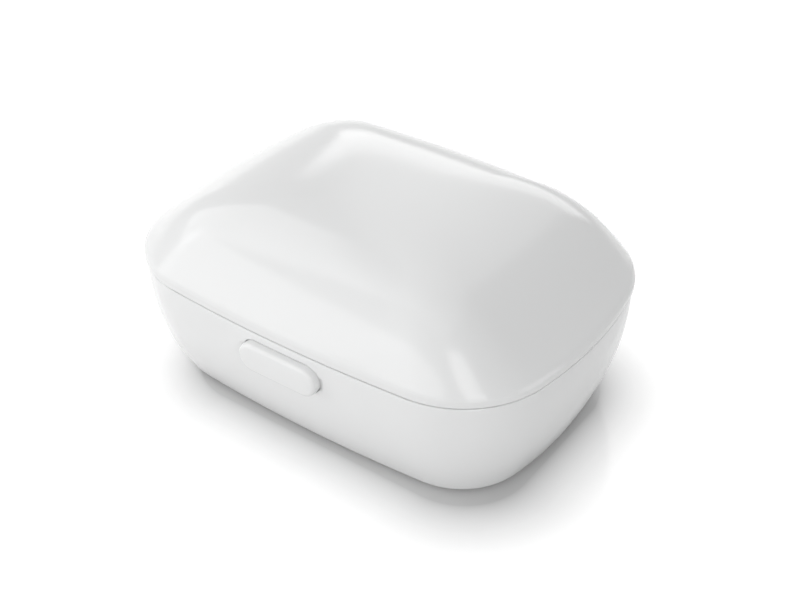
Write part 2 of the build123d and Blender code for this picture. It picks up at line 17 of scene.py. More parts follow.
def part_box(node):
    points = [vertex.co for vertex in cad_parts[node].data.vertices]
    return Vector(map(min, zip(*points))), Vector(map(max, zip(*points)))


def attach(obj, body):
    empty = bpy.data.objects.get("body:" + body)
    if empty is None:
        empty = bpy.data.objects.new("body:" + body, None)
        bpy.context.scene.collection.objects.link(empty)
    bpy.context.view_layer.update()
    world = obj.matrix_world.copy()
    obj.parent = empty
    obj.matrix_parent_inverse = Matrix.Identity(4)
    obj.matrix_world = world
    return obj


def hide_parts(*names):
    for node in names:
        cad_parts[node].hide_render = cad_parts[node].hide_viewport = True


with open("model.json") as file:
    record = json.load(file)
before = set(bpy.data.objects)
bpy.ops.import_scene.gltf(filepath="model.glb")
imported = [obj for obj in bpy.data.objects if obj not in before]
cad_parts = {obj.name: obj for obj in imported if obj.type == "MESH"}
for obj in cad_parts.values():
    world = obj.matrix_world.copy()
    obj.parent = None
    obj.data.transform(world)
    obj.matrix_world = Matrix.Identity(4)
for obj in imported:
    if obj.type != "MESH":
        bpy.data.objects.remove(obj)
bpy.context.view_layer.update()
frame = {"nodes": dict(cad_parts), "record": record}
nodes = frame["nodes"]

# %% [markdown]
# ## Sizes
#
# The two shells follow one rule, and the visible skins below are drawn from that same rule, so that they
# lie close to the solids. They differ on purpose in three ways: the edges along the seam are rounded, the
# seam is opened a little so that it reads as a line, and the crown closes in a round cap where the solid
# ends in a small flat. The lengths here are in millimetres, and the print gives the lid solid's own span.

# %% Sizes of the case
MM = 0.001
CASE_Y = 0.341
HALF_LENGTH = 50.0
HALF_WIDTH = 35.6
CORNER = 21.15
END_BOW = 1.25
SIDE_BOW = 1.1
SEAM = 28.1
SEAM_GAP = 0.25
RIM_STEP = 0.25
WALL = 2.0
RIM_BAND = 2.5
LID_RISE = 16.25
SHOULDER_POWER = 4.0
SHOULDER_ROOT = 1.01
END_LEAD = 0.814
CORNER_FADE = 2.6
CROWN_ROUND = 1.7
ROUNDEST = 0.93
LAST_ANGLE = 88.0
FOOT_GAP = 0.6
FOOT_INSET_X = 6.05
FOOT_INSET_Y = 7.2
FOOT_POWER = 2.305
FOOT_EDGE = 1.0
RIM_EDGE = 0.3
SEAM_OPENING = 0.12
BASE_TOP = SEAM - SEAM_GAP
low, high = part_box("lid_shell")
print("lid solid spans x", round(low.x, 4), round(high.x, 4), "and up to z", round(high.z, 4))

# %% [markdown]
# ## One level outline
#
# Seen from above, the case is four bulging sides joined by four round corners. It could be drawn as a
# superellipse, but its corners would not be true arcs. Here each side and corner is an arc, and all eight
# arcs meet without a kink. Every outline has the same number of points in the same order, so two
# outlines can always be joined by a strip of four-sided faces.

# %% Outline of the case at one height
END_STEPS = 16
SIDE_STEPS = 22
CORNER_STEPS = 22


def arc(centre, radius, start, end, steps):
    """Points along an arc, without its last one."""
    turn = np.linspace(start, end, steps + 1)[:-1]
    return np.column_stack((centre[0] + radius * np.cos(turn), centre[1] + radius * np.sin(turn)))


def outline(half_x, half_y, corner, bow_x, bow_y):
    """Closed outline, turning left, that starts at the middle of the right end."""
    corner_x = half_x - corner - bow_x
    corner_y = half_y - corner - bow_y
    side = (corner_x**2 + (corner + bow_y) ** 2 - corner**2) / (2 * bow_y)
    end = (corner_y**2 + (corner + bow_x) ** 2 - corner**2) / (2 * bow_x)
    end_turn = math.atan2(corner_y, corner_x - half_x + end)
    side_turn = math.atan2(corner_y - half_y + side, corner_x)
    quarter = np.vstack((
        arc((half_x - end, 0), end, 0, end_turn, END_STEPS),
        arc((corner_x, corner_y), corner, end_turn, side_turn, CORNER_STEPS),
        arc((0, half_y - side), side, side_turn, math.pi / 2, SIDE_STEPS),
    ))
    top = [[0.0, half_y]]
    right_end = [[half_x, 0.0]]
    upper = np.vstack((quarter, top, (quarter * (-1, 1))[:0:-1]))
    lower = np.vstack((np.array(right_end) * (-1, 1), (upper * (1, -1))[:0:-1]))
    return np.vstack((upper, lower))


def ring(points, height):
    """The outline as points in space, in millimetres, at the case's place."""
    return np.column_stack((points[:, 0], points[:, 1] + CASE_Y, np.full(len(points), height)))


print("points in one outline:", len(outline(HALF_LENGTH, HALF_WIDTH, CORNER, END_BOW, SIDE_BOW)))

# %% [markdown]
# ## The rule of the two shells
#
# Going up, the lid first rises straight for a short band and then rolls over its shoulder to the crown,
# while its corners first tighten and then melt away. Going down, the base draws in slowly and then
# faster. Both could be sculpted, but a rule gives the even curvature that gloss plastic needs, because
# every dent shows in its reflections.

# %% Outlines of the lid and the base
def lid_ring(inset, angle, drop=0.0):
    """Outline of the lid, from 0 degrees above the rim band to the crown."""
    reach = math.cos(math.radians(angle)) ** (2 / SHOULDER_POWER)
    share = 1 - reach
    rise = (LID_RISE - inset) * math.sin(math.radians(angle)) ** (2 / SHOULDER_ROOT)
    half_y = (HALF_WIDTH - inset) * reach
    rim = (CORNER - inset) / (HALF_WIDTH - inset)
    roundness = min(rim * reach**CORNER_FADE + share**CROWN_ROUND, ROUNDEST)
    half_x = (HALF_LENGTH - inset) * (1 - share**END_LEAD)
    points = outline(half_x, half_y, half_y * roundness, END_BOW * reach, SIDE_BOW * reach)
    return ring(points, SEAM + RIM_BAND + rise - drop)


def base_ring(inset, height, place=None):
    """Outline of the base at a height, or that outline moved to another height."""
    draw_in = ((BASE_TOP - height) / (BASE_TOP - FOOT_GAP)) ** FOOT_POWER
    points = outline(
        HALF_LENGTH - RIM_STEP - FOOT_INSET_X * draw_in - inset,
        HALF_WIDTH - RIM_STEP - FOOT_INSET_Y * draw_in - inset,
        CORNER - FOOT_INSET_X * draw_in - inset,
        END_BOW,
        SIDE_BOW,
    )
    return ring(points, height if place is None else place)


RIM_CROWDING = 1.35


def crown_angles(count):
    """Angles for the lid's inner rings, closer together near the rim, where the skin turns most."""
    return LAST_ANGLE * np.linspace(0, 1, count) ** RIM_CROWDING


print("lid angles:", np.round(crown_angles(8), 1))

# %% [markdown]
# ## Meshes from rings
#
# A helper joins rings into skins, closes the ends and hands back an object. Other plain shapes, such as
# blocks, rods and stadium bars, are made by small helpers too. Solid parts are cut with Boolean
# modifiers, whose results are turned into plain meshes, so that nothing live is left on a piece.

# %% Mesh helpers
SMOOTH_ANGLE = math.radians(35)
collection = bpy.context.scene.collection


def keep(name, bm):
    """Turns a bmesh into an object at the origin, with its sharp edges marked."""
    bmesh.ops.recalc_face_normals(bm, faces=bm.faces)
    for face in bm.faces:
        face.smooth = True
    for edge in bm.edges:
        if len(edge.link_faces) == 2:
            edge.smooth = edge.calc_face_angle() < SMOOTH_ANGLE
    mesh = bpy.data.meshes.new(name)
    bm.to_mesh(mesh)
    bm.free()
    made = bpy.data.objects.new(name, mesh)
    collection.objects.link(made)
    return made


def skin(name, rings, closed=False):
    """Solid bounded by a stack of rings, closed by a fan at both ends or into a loop."""
    bm = bmesh.new()
    rows = [[bm.verts.new(Vector(point) * MM) for point in row] for row in rings]
    pairs = list(zip(rows, rows[1:]))
    if closed:
        pairs.append((rows[-1], rows[0]))
    for lower, upper in pairs:
        for i in range(len(lower)):
            j = (i + 1) % len(lower)
            bm.faces.new((lower[i], lower[j], upper[j], upper[i]))
    if not closed:
        for row in (rows[0], rows[-1]):
            middle = bm.verts.new(sum((v.co for v in row), Vector()) / len(row))
            for i in range(len(row)):
                bm.faces.new((row[i], row[(i + 1) % len(row)], middle))
    return keep(name, bm)


def block(name, x, y, z):
    """Box between pairs of x, y and z, in millimetres."""
    bm = bmesh.new()
    bmesh.ops.create_cube(bm, size=1.0)
    for v in bm.verts:
        for axis, (start, end) in enumerate((x, y, z)):
            v.co[axis] = (start if v.co[axis] < 0 else end) * MM
    return keep(name, bm)


def bar(name, section, start, end, axis):
    """Bar with a closed section of two coordinates, along x or y."""
    bm = bmesh.new()
    rows = []
    for place in (start, end):
        corners = [(place, a, b) if axis == "x" else (a, place, b) for a, b in section]
        rows.append([bm.verts.new(Vector(corner) * MM) for corner in corners])
    for i in range(len(section)):
        j = (i + 1) % len(section)
        bm.faces.new((rows[0][i], rows[0][j], rows[1][j], rows[1][i]))
    bm.faces.new(rows[0])
    bm.faces.new(rows[1])
    return keep(name, bm)


def circle(a, b, radius, steps=48):
    """Points of a circle, as a section."""
    turns = [2 * math.pi * i / steps for i in range(steps)]
    return [(a + radius * math.cos(t), b + radius * math.sin(t)) for t in turns]


def stadium(length, height, z, steps=20):
    """Points of a stadium about x = 0, as a section in x and z."""
    radius = height / 2
    straight = length / 2 - radius
    points = []
    for side, first in ((1, -math.pi / 2), (-1, math.pi / 2)):
        for i in range(steps + 1):
            turn = first + math.pi * i / steps
            points.append((side * straight + radius * math.cos(turn), z + radius * math.sin(turn)))
    return points


def cut(target, tool):
    """Cuts a tool out of a form with an exact Boolean and removes the tool."""
    step = target.modifiers.new("cut", "BOOLEAN")
    step.operation = "DIFFERENCE"
    step.solver = "EXACT"
    step.object = tool
    graph = bpy.context.evaluated_depsgraph_get()
    mesh = bpy.data.meshes.new_from_object(target.evaluated_get(graph))
    target.modifiers.clear()
    target.data = mesh
    bpy.data.objects.remove(tool)
    return target


def merge(name, parts):
    """Puts several closed forms into one piece."""
    bm = bmesh.new()
    for part in parts:
        bm.from_mesh(part.data)
        bpy.data.objects.remove(part)
    mesh = bpy.data.meshes.new(name)
    bm.to_mesh(mesh)
    bm.free()
    made = bpy.data.objects.new(name, mesh)
    collection.objects.link(made)
    return made


# %% [markdown]
# ## The lid
#
# The real lid is one moulded shell, two millimetres thick, with a softened lower edge, a thick step over
# the hinge barrel and two knuckles of its own. It could be a copy of the solid, but a fresh skin with
# evenly spaced rings reflects more smoothly. Its lower edge can be rounded, which gives the fine bright
# line above the seam. The bend above its straight band is spread over several rings, because a sharp one
# would draw a hard line in the gloss.

# %% Lid skin
OUTER_RINGS = 48
RIM_ROWS = 11
RIM_SHARE = 0.035
BAND_PART = 0.8
CROWN_DROP = 0.03
CROWN_END = 0.9
SOFT_REACH = 7
INNER_RINGS = 26
EDGE_STEPS = 4


def quarter_round(steps):
    """Steps of a rounded edge, as shares: how far in each lies, and how far it still has to rise."""
    turns = [math.pi / 2 * i / steps for i in range(steps + 1)]
    return [(1 - math.cos(turn), 1 - math.sin(turn)) for turn in turns]


def rolled_edge(edge_ring, inset, outward):
    """Rings that roll an edge of a skin in towards the middle of the rim."""
    rows = []
    for across, along in quarter_round(EDGE_STEPS):
        shift = RIM_EDGE * across
        rows.append(edge_ring(inset + shift if outward else inset - shift, RIM_EDGE * along))
    return rows


def lid_edge(inset, lift):
    """Ring at the lid's lower edge, lifted by a little."""
    return lid_ring(inset, 0, RIM_BAND - SEAM_OPENING - lift)


def crown_share(share, inset=0):
    """Ring of the lid at a share of the way in from the rim to the middle of the crown."""
    angle = math.degrees(math.acos((1 - share) ** (SHOULDER_POWER / 2)))
    return lid_ring(inset, angle, CROWN_DROP * (1 - (1 - share) ** SHOULDER_POWER))


def softened(rows, reach):
    """Rows whose bends are spread over a number of neighbours on each side."""
    weights = 1 - np.abs(np.linspace(-1, 1, 2 * reach + 3)[1:-1])
    weights /= weights.sum()
    soft = list(rows)
    for i in range(reach, len(rows) - reach):
        soft[i] = sum(w * row for w, row in zip(weights, rows[i - reach : i + reach + 1]))
    return soft


shoulder = [crown_share(share) for share in np.linspace(0, RIM_SHARE, RIM_ROWS)[::-1]]
shoulder += [lid_ring(0, 0, drop) for drop in np.linspace(0, BAND_PART * RIM_BAND, RIM_ROWS)[1:]]
outer = [crown_share(share) for share in np.linspace(RIM_SHARE, CROWN_END, OUTER_RINGS)[:0:-1]]
outer += softened(shoulder, SOFT_REACH)
outer += rolled_edge(lid_edge, 0, True)
inner = rolled_edge(lid_edge, WALL, False)[::-1]
inner += [lid_ring(WALL, angle) for angle in crown_angles(INNER_RINGS)]
lid_skin = skin("lid_skin", outer + inner)
print("lid skin faces:", len(lid_skin.data.polygons))

# %% [markdown]
# The barrel of the hinge needs a notch across the lid's back edge. The knuckles are cylinders with a web
# that runs up into the lid. They overlap the shell instead of being joined to it face by face, because
# the joint lies inside plastic of one colour and can't be seen.

# %% Hinge places
BARREL = 1.8
BARREL_GAP = 0.3
BARREL_PROUD = 0.9
BARREL_CUT = BARREL + BARREL_GAP
HINGE_Y = CASE_Y + HALF_WIDTH + BARREL_PROUD - BARREL
HINGE_Z = SEAM - SEAM_GAP / 2
HINGE_HALF = 26.0
KNUCKLE_GAP = 0.3
KNUCKLE_BACK = 0.7
BASE_KNUCKLE = (HINGE_HALF - 7.5, HINGE_HALF)
LID_KNUCKLE = (4.2, BASE_KNUCKLE[0] - KNUCKLE_GAP)
BLOCK_DEPTH = 4.0
BLOCK_HEIGHT = 4.5
BLOCK_FRONT = HINGE_Y + BARREL_PROUD - BLOCK_DEPTH
NOTCH_TOP = HINGE_Z + BARREL_CUT
print("hinge axis at y", round(HINGE_Y, 3), "and z", round(HINGE_Z, 3))

# %% Lid notch, knuckles and hook boss
OVER = 1.0
OUTSIDE = 40.0
STEP_BACK = 1.4
STEP_HEIGHT = 3.0
BOSS_HALF = 6.5
BOSS_INSET = 1.4
BOSS_DEPTH = 0.7
BOSS_LOW = 0.4
BOSS_HIGH = 4.3


def knuckle(name, x_from, x_to, web_low, web_high):
    """Barrel and web of one hinge knuckle."""
    barrel = bar(name, circle(HINGE_Y, HINGE_Z, BARREL), x_from, x_to, "x")
    web_y = (HINGE_Y - BARREL, HINGE_Y + KNUCKLE_BACK)
    return [barrel, block(name + "_web", (x_from, x_to), web_y, (web_low, web_high))]


notch_half = HINGE_HALF + 2 * KNUCKLE_GAP
notch = block(
    "notch", (-notch_half, notch_half), (HINGE_Y - BARREL_CUT, OUTSIDE), (SEAM - OVER, NOTCH_TOP)
)
thick_step = block(
    "thick_step", (-HINGE_HALF, HINGE_HALF), (BLOCK_FRONT, HINGE_Y - STEP_BACK),
    (NOTCH_TOP, NOTCH_TOP + STEP_HEIGHT),
)
lid_parts = [cut(lid_skin, notch), thick_step]
for side in (-1, 1):
    ends = sorted(side * x for x in LID_KNUCKLE)
    lid_parts += knuckle("lid_knuckle", *ends, HINGE_Z, NOTCH_TOP + KNUCKLE_GAP)
hook_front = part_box("lid_catch")[0].y / MM
lid_parts.append(block(
    "hook_boss", (-BOSS_HALF, BOSS_HALF),
    (CASE_Y - HALF_WIDTH + BOSS_INSET, hook_front + BOSS_DEPTH), (SEAM + BOSS_LOW, SEAM + BOSS_HIGH),
))
lid_piece = merge("lid_shell_skin", lid_parts)
print("lid piece triangles:", sum(len(p.vertices) - 2 for p in lid_piece.data.polygons))

# %% [markdown]
# ## The liner
#
# The lid is lined with a thinner skin of the same form. The solid's crown ends in a small flat, whose
# edge would show in the open lid, so the liner is drawn from the rule too. It has a window for the hook
# and ends short of the hinge.

# %% Liner
LINER_GAP = 0.3
LINER_WALL = 1.2
LINER_OUT = WALL + LINER_GAP
LINER_IN = LINER_OUT + LINER_WALL
LINER_START = 0.8
LINER_RINGS = 40
LINER_CROWDING = 1.2
WINDOW_HALF = 8.0
WINDOW_DEPTH = 9.0
WINDOW_HEIGHT = 7.0
shares = np.linspace(0, 1, LINER_RINGS) ** LINER_CROWDING * CROWN_END
rows = [crown_share(share, LINER_OUT) for share in shares[::-1]]
rows.append(lid_ring(LINER_OUT, 0, RIM_BAND - LINER_START))
rows.append(lid_ring(LINER_IN, 0, RIM_BAND - LINER_START))
rows += [crown_share(share, LINER_IN) for share in shares]
liner_piece = skin("lid_liner_skin", rows)
window = block(
    "window", (-WINDOW_HALF, WINDOW_HALF), (-OUTSIDE, CASE_Y - HALF_WIDTH + WINDOW_DEPTH),
    (SEAM - OVER, SEAM + WINDOW_HEIGHT),
)
liner_piece = cut(liner_piece, window)
hinge_room = block(
    "hinge_room", (-HINGE_HALF - LINER_GAP, HINGE_HALF + LINER_GAP), (BLOCK_FRONT - LINER_GAP, OUTSIDE),
    (SEAM - OVER, NOTCH_TOP + BLOCK_HEIGHT + LINER_GAP),
)
liner_piece = cut(liner_piece, hinge_room)
print("liner triangles:", sum(len(p.vertices) - 2 for p in liner_piece.data.polygons))

# %% [markdown]
# ## The base
#
# The base is the matching lower shell. Its upper edge is softened like the lid's, its lower edge is
# rounded more, and it is open below for the bottom cover. The front wall has a stadium opening for the
# button, with a thick seat behind it, and the back wall has a smaller one for the power inlet.

# %% Base skin
COVER_RIM = 1.8
COVER_TOP = 2.6
LEDGE_TOP = 4.2
LEDGE_INSET = COVER_RIM + 3.2
BASE_RINGS = 44
BASE_INNER_RINGS = 16


def base_edge(inset, drop):
    """Ring at the base's upper edge, lowered by a little."""
    return base_ring(inset, BASE_TOP, BASE_TOP - SEAM_OPENING - drop)


def foot_ring(inset, place):
    """Straight-sided ring with the outline of the foot."""
    return base_ring(inset, FOOT_GAP, place)


foot_edge = []
for across, along in quarter_round(2 * EDGE_STEPS):
    foot_edge.append(base_ring(FOOT_EDGE * across, FOOT_GAP + FOOT_EDGE * along))
heights = np.linspace(FOOT_GAP + FOOT_EDGE, BASE_TOP - SEAM_OPENING - RIM_EDGE, BASE_RINGS)
outer = foot_edge[::-1] + [base_ring(0, height) for height in heights[1:]]
outer += rolled_edge(base_edge, 0, True)[1:]
inner = rolled_edge(base_edge, WALL, False)[::-1]
heights = np.linspace(BASE_TOP - OVER, LEDGE_TOP, BASE_INNER_RINGS)
inner += [base_ring(WALL, height) for height in heights]
inner += [foot_ring(LEDGE_INSET, LEDGE_TOP), foot_ring(LEDGE_INSET, COVER_TOP)]
inner += [foot_ring(COVER_RIM, COVER_TOP), foot_ring(COVER_RIM, FOOT_GAP)]
base_skin = skin("base_skin", outer + inner, closed=True)
print("base skin faces:", len(base_skin.data.polygons))

# %% Openings for the button and the power inlet, and the button's seat
BUTTON_Z = SEAM - 5.6
BUTTON_LENGTH = 19.3
BUTTON_HEIGHT = 6.6
BUTTON_GAP = 0.15
BUTTON_PROUD = 2.0
MOUTH_REACH = 3.0
SEAT_EXTRA = 0.4
SEAT_HALF = 13.0
SEAT_START = 3.0
SEAT_LOW = 17.8
SEAT_DROP = 0.05
INLET_GAP = 0.35
INLET_START = 25.0
BUTTON_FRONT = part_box("release_button")[0].y / MM
SEAT_Y = BUTTON_FRONT + BUTTON_PROUD + WALL + SEAT_EXTRA


def cut_mouth(target):
    """Cuts the button's opening."""
    section = stadium(BUTTON_LENGTH + 2 * BUTTON_GAP, BUTTON_HEIGHT + 2 * BUTTON_GAP, BUTTON_Z)
    return cut(target, bar("mouth", section, BUTTON_FRONT - OVER, SEAT_Y + MOUTH_REACH, "y"))


base_skin = cut_mouth(base_skin)
seat = cut_mouth(block(
    "seat", (-SEAT_HALF, SEAT_HALF), (BUTTON_FRONT + SEAT_START, SEAT_Y), (SEAT_LOW, BASE_TOP - SEAT_DROP)
))
low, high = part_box("usb_socket")
inlet_length = (high.x - low.x) / MM + 2 * INLET_GAP
inlet_height = (high.z - low.z) / MM + 2 * INLET_GAP
inlet = stadium(inlet_length, inlet_height, (low.z + high.z) / 2 / MM)
base_skin = cut(base_skin, bar("inlet", inlet, INLET_START, OUTSIDE, "y"))
print("power inlet:", round(inlet_length, 2), "by", round(inlet_height, 2))

# %% Hinge side, lip and posts of the base
HINGE_BLOCK_BACK = 1.0
LIP_HALF = 5.5
LIP_DEPTH = 1.9
LIP_HEIGHTS = (BASE_TOP - 1.85, BASE_TOP - 0.65)
POST_X = 33.3
POST_Y = 18.8
POST_RADIUS = 3.0
POST_TOP = 23.9
X_TO_Z = Matrix(((0, 1, 0, 0), (0, 0, 1, 0), (1, 0, 0, 0), (0, 0, 0, 1)))


def cut_groove(target):
    """Cuts the groove in which the lid's knuckles turn."""
    section = circle(HINGE_Y, HINGE_Z, BARREL_CUT)
    return cut(target, bar("groove", section, -BASE_KNUCKLE[0], BASE_KNUCKLE[0], "x"))


base_skin = cut_groove(base_skin)
hinge_block = cut_groove(block(
    "hinge_block", (-HINGE_HALF, HINGE_HALF), (BLOCK_FRONT, HINGE_Y - HINGE_BLOCK_BACK),
    (BASE_TOP - BLOCK_HEIGHT, BASE_TOP),
))
base_parts = [base_skin, seat, hinge_block]
for side in (-1, 1):
    ends = sorted(side * x for x in BASE_KNUCKLE)
    base_parts += knuckle("base_knuckle", *ends, BASE_TOP - BARREL, HINGE_Z)
base_parts.append(block("lip", (-LIP_HALF, LIP_HALF), (SEAT_Y - OVER, SEAT_Y + LIP_DEPTH), LIP_HEIGHTS))
for x in (-POST_X, POST_X):
    for y in (CASE_Y - POST_Y, CASE_Y + POST_Y):
        post = bar("post", circle(x, y, POST_RADIUS), COVER_TOP, POST_TOP, "x")
        post.data.transform(X_TO_Z)
        base_parts.append(post)
base_piece = merge("base_shell_skin", base_parts)
print("base piece triangles:", sum(len(p.vertices) - 2 for p in base_piece.data.polygons))

# %% [markdown]
# ## The button
#
# The real button is a moulded stadium that stands two millimetres proud, with a softly rounded front
# edge. A bevelled box would pinch at its round ends, so it is drawn as rings as well: each ring is the
# same stadium, a little smaller as the face rolls over. Behind the wall it widens into two ears and a
# stem, which are plain blocks because they are hidden.

# %% Button
BUTTON_EDGE = 0.9
EDGE_START = BUTTON_FRONT + BUTTON_EDGE
FACE_CROWN = 0.12
FACE_STEPS = 8
FACE_SHARES = (0.15, 0.4, 0.7, 0.95)
SIDE_PLACES = (SEAT_Y + 0.14, SEAT_Y - 0.5, EDGE_START + 1.0, EDGE_START + 0.4)
EAR_HALF = BUTTON_LENGTH / 2 + 2.0
EAR_Y = (SEAT_Y + 0.1, SEAT_Y + 0.9)
EAR_Z = (BUTTON_Z - 2.8, BUTTON_Z + 1.0)
STEM_HALF = 5.0
STEM_Z = (BUTTON_Z, BUTTON_Z + 2.8)


def button_ring(inset, y):
    """Stadium of the button, smaller by an inset, at a depth."""
    section = stadium(BUTTON_LENGTH - 2 * inset, BUTTON_HEIGHT - 2 * inset, BUTTON_Z)
    return np.array([(x, y, z) for x, z in section])


rows = [button_ring(0, y) for y in SIDE_PLACES]
for across, along in quarter_round(FACE_STEPS):
    depth = FACE_CROWN + (BUTTON_EDGE - FACE_CROWN) * along
    rows.append(button_ring(BUTTON_EDGE * across, BUTTON_FRONT + depth))
for share in FACE_SHARES:
    inset = BUTTON_EDGE + (BUTTON_HEIGHT / 2 - BUTTON_EDGE) * share
    rows.append(button_ring(inset, BUTTON_FRONT + FACE_CROWN * (1 - share) ** 2))
front = skin("button_front", rows)
ears = block("ears", (-EAR_HALF, EAR_HALF), EAR_Y, EAR_Z)
stem = block("stem", (-STEM_HALF, STEM_HALF), EAR_Y, STEM_Z)
button_piece = merge("release_button_skin", [front, ears, stem])
print("button triangles:", sum(len(p.vertices) - 2 for p in button_piece.data.polygons))

# %% [markdown]
# ## Feet and springs
#
# The four soft feet and the two coil springs behind the button each repeat one small form, which is what
# Geometry Nodes are for: a tree takes the winding or the four places and a few named sizes and makes the
# forms. Each tree ends in Realize Instances and Set Material, and its result is turned into a plain mesh.

# %% Helpers for Geometry Nodes
def new_tree(name, inputs):
    """Empty geometry tree with named inputs, each a name, a socket type and a value."""
    tree = bpy.data.node_groups.new(name, "GeometryNodeTree")
    tree.interface.new_socket("Geometry", in_out="OUTPUT", socket_type="NodeSocketGeometry")
    for label, kind, value in inputs:
        socket = tree.interface.new_socket(label, in_out="INPUT", socket_type=kind)
        if value is not None:
            socket.default_value = value
    return tree, tree.nodes.new("NodeGroupInput"), tree.nodes.new("NodeGroupOutput")


def finish_tree(tree, geometry, source, output):
    """Ends a tree in Realize Instances and Set Material."""
    real = tree.nodes.new("GeometryNodeRealizeInstances")
    paint = tree.nodes.new("GeometryNodeSetMaterial")
    tree.links.new(geometry, real.inputs["Geometry"])
    tree.links.new(real.outputs["Geometry"], paint.inputs["Geometry"])
    tree.links.new(source.outputs["Finish"], paint.inputs["Material"])
    tree.links.new(paint.outputs["Geometry"], output.inputs["Geometry"])


def grow(name, tree, values, places):
    """Runs a tree on an empty mesh and keeps what it made as a plain mesh, once at each place."""
    host = bpy.data.objects.new(name, bpy.data.meshes.new(name))
    collection.objects.link(host)
    step = host.modifiers.new("grow", "NODES")
    step.node_group = tree
    for item in tree.interface.items_tree:
        if item.item_type == "SOCKET" and item.in_out == "INPUT" and item.name in values:
            step[item.identifier] = values[item.name]
    graph = bpy.context.evaluated_depsgraph_get()
    made = bpy.data.meshes.new_from_object(host.evaluated_get(graph))
    host.modifiers.clear()
    bm = bmesh.new()
    for place in places:
        one = made.copy()
        one.transform(place)
        bm.from_mesh(one)
        bpy.data.meshes.remove(one)
    bmesh.ops.remove_doubles(bm, verts=bm.verts, dist=1e-6)
    bm.normal_update()
    for face in bm.faces:
        face.smooth = True
    bm.to_mesh(host.data)
    bm.free()
    for material in made.materials:
        host.data.materials.append(material)
    return host


# %% [markdown]
# ## Finishes
#
# No moulded or rolled surface is perfectly even: gloss plastic has a faint ripple, and steel a fine
# grain. An image could hold that, but a noise that reads the object's own coordinates needs no file and
# has no seams. The noise sits in one shared node group, which gives out a roughness and a height, and
# each material brings its own numbers. What is the same all over stays on the shader's own sockets.

# %% Shared grain group
NOISE_LOW = 0.3
NOISE_HIGH = 0.7
RELIEF_DEPTH = 0.05 * MM


def make_grain_group():
    """Node group that turns a fine noise into a roughness and a height."""
    group = bpy.data.node_groups.new("surface_grain", "ShaderNodeTree")
    for label, value in (("Scale", 900.0), ("Smoothest", 0.2), ("Roughest", 0.3)):
        socket = group.interface.new_socket(label, in_out="INPUT", socket_type="NodeSocketFloat")
        socket.default_value = value
    for label in ("Roughness", "Height"):
        group.interface.new_socket(label, in_out="OUTPUT", socket_type="NodeSocketFloat")
    source = group.nodes.new("NodeGroupInput")
    output = group.nodes.new("NodeGroupOutput")
    place = group.nodes.new("ShaderNodeTexCoord")
    noise = group.nodes.new("ShaderNodeTexNoise")
    noise.inputs["Detail"].default_value = 3.0
    spread = group.nodes.new("ShaderNodeMapRange")
    spread.inputs["From Min"].default_value = NOISE_LOW
    spread.inputs["From Max"].default_value = NOISE_HIGH
    group.links.new(place.outputs["Object"], noise.inputs["Vector"])
    group.links.new(source.outputs["Scale"], noise.inputs["Scale"])
    group.links.new(noise.outputs["Fac"], spread.inputs["Value"])
    group.links.new(source.outputs["Smoothest"], spread.inputs["To Min"])
    group.links.new(source.outputs["Roughest"], spread.inputs["To Max"])
    group.links.new(spread.outputs["Result"], output.inputs["Roughness"])
    group.links.new(noise.outputs["Fac"], output.inputs["Height"])
    return group


grain = make_grain_group()


def finish_of(name, colour, smoothest, roughest, scale, relief=0.0, metal=0.0, through=0.0):
    """Principled material whose roughness, and relief if any, come from the grain group."""
    material = bpy.data.materials.new(name)
    material.use_nodes = True
    tree = material.node_tree
    shader = tree.nodes["Principled BSDF"]
    shader.inputs["Base Color"].default_value = (*colour, 1.0)
    shader.inputs["Metallic"].default_value = metal
    shader.inputs["Transmission Weight"].default_value = through
    texture = tree.nodes.new("ShaderNodeGroup")
    texture.node_tree = grain
    texture.inputs["Scale"].default_value = scale
    texture.inputs["Smoothest"].default_value = smoothest
    texture.inputs["Roughest"].default_value = roughest
    tree.links.new(texture.outputs["Roughness"], shader.inputs["Roughness"])
    if relief:
        bump = tree.nodes.new("ShaderNodeBump")
        bump.inputs["Strength"].default_value = relief
        bump.inputs["Distance"].default_value = RELIEF_DEPTH
        tree.links.new(texture.outputs["Height"], bump.inputs["Height"])
        tree.links.new(bump.outputs["Normal"], shader.inputs["Normal"])
    return material


# %% [markdown]
# The shells and the button are moulded in one gloss white, and the button is a touch duller, as a part
# that fingers rub. Inside, the tray is dark and the liner pale, both with a fine matte grain. They could
# be painted with images, but each is even enough for one line: a colour, the smoothest and the roughest
# value, the grain's scale, the strength of its relief, and 1 for bare metal. The clear rods let light
# through, so they are made on their own.

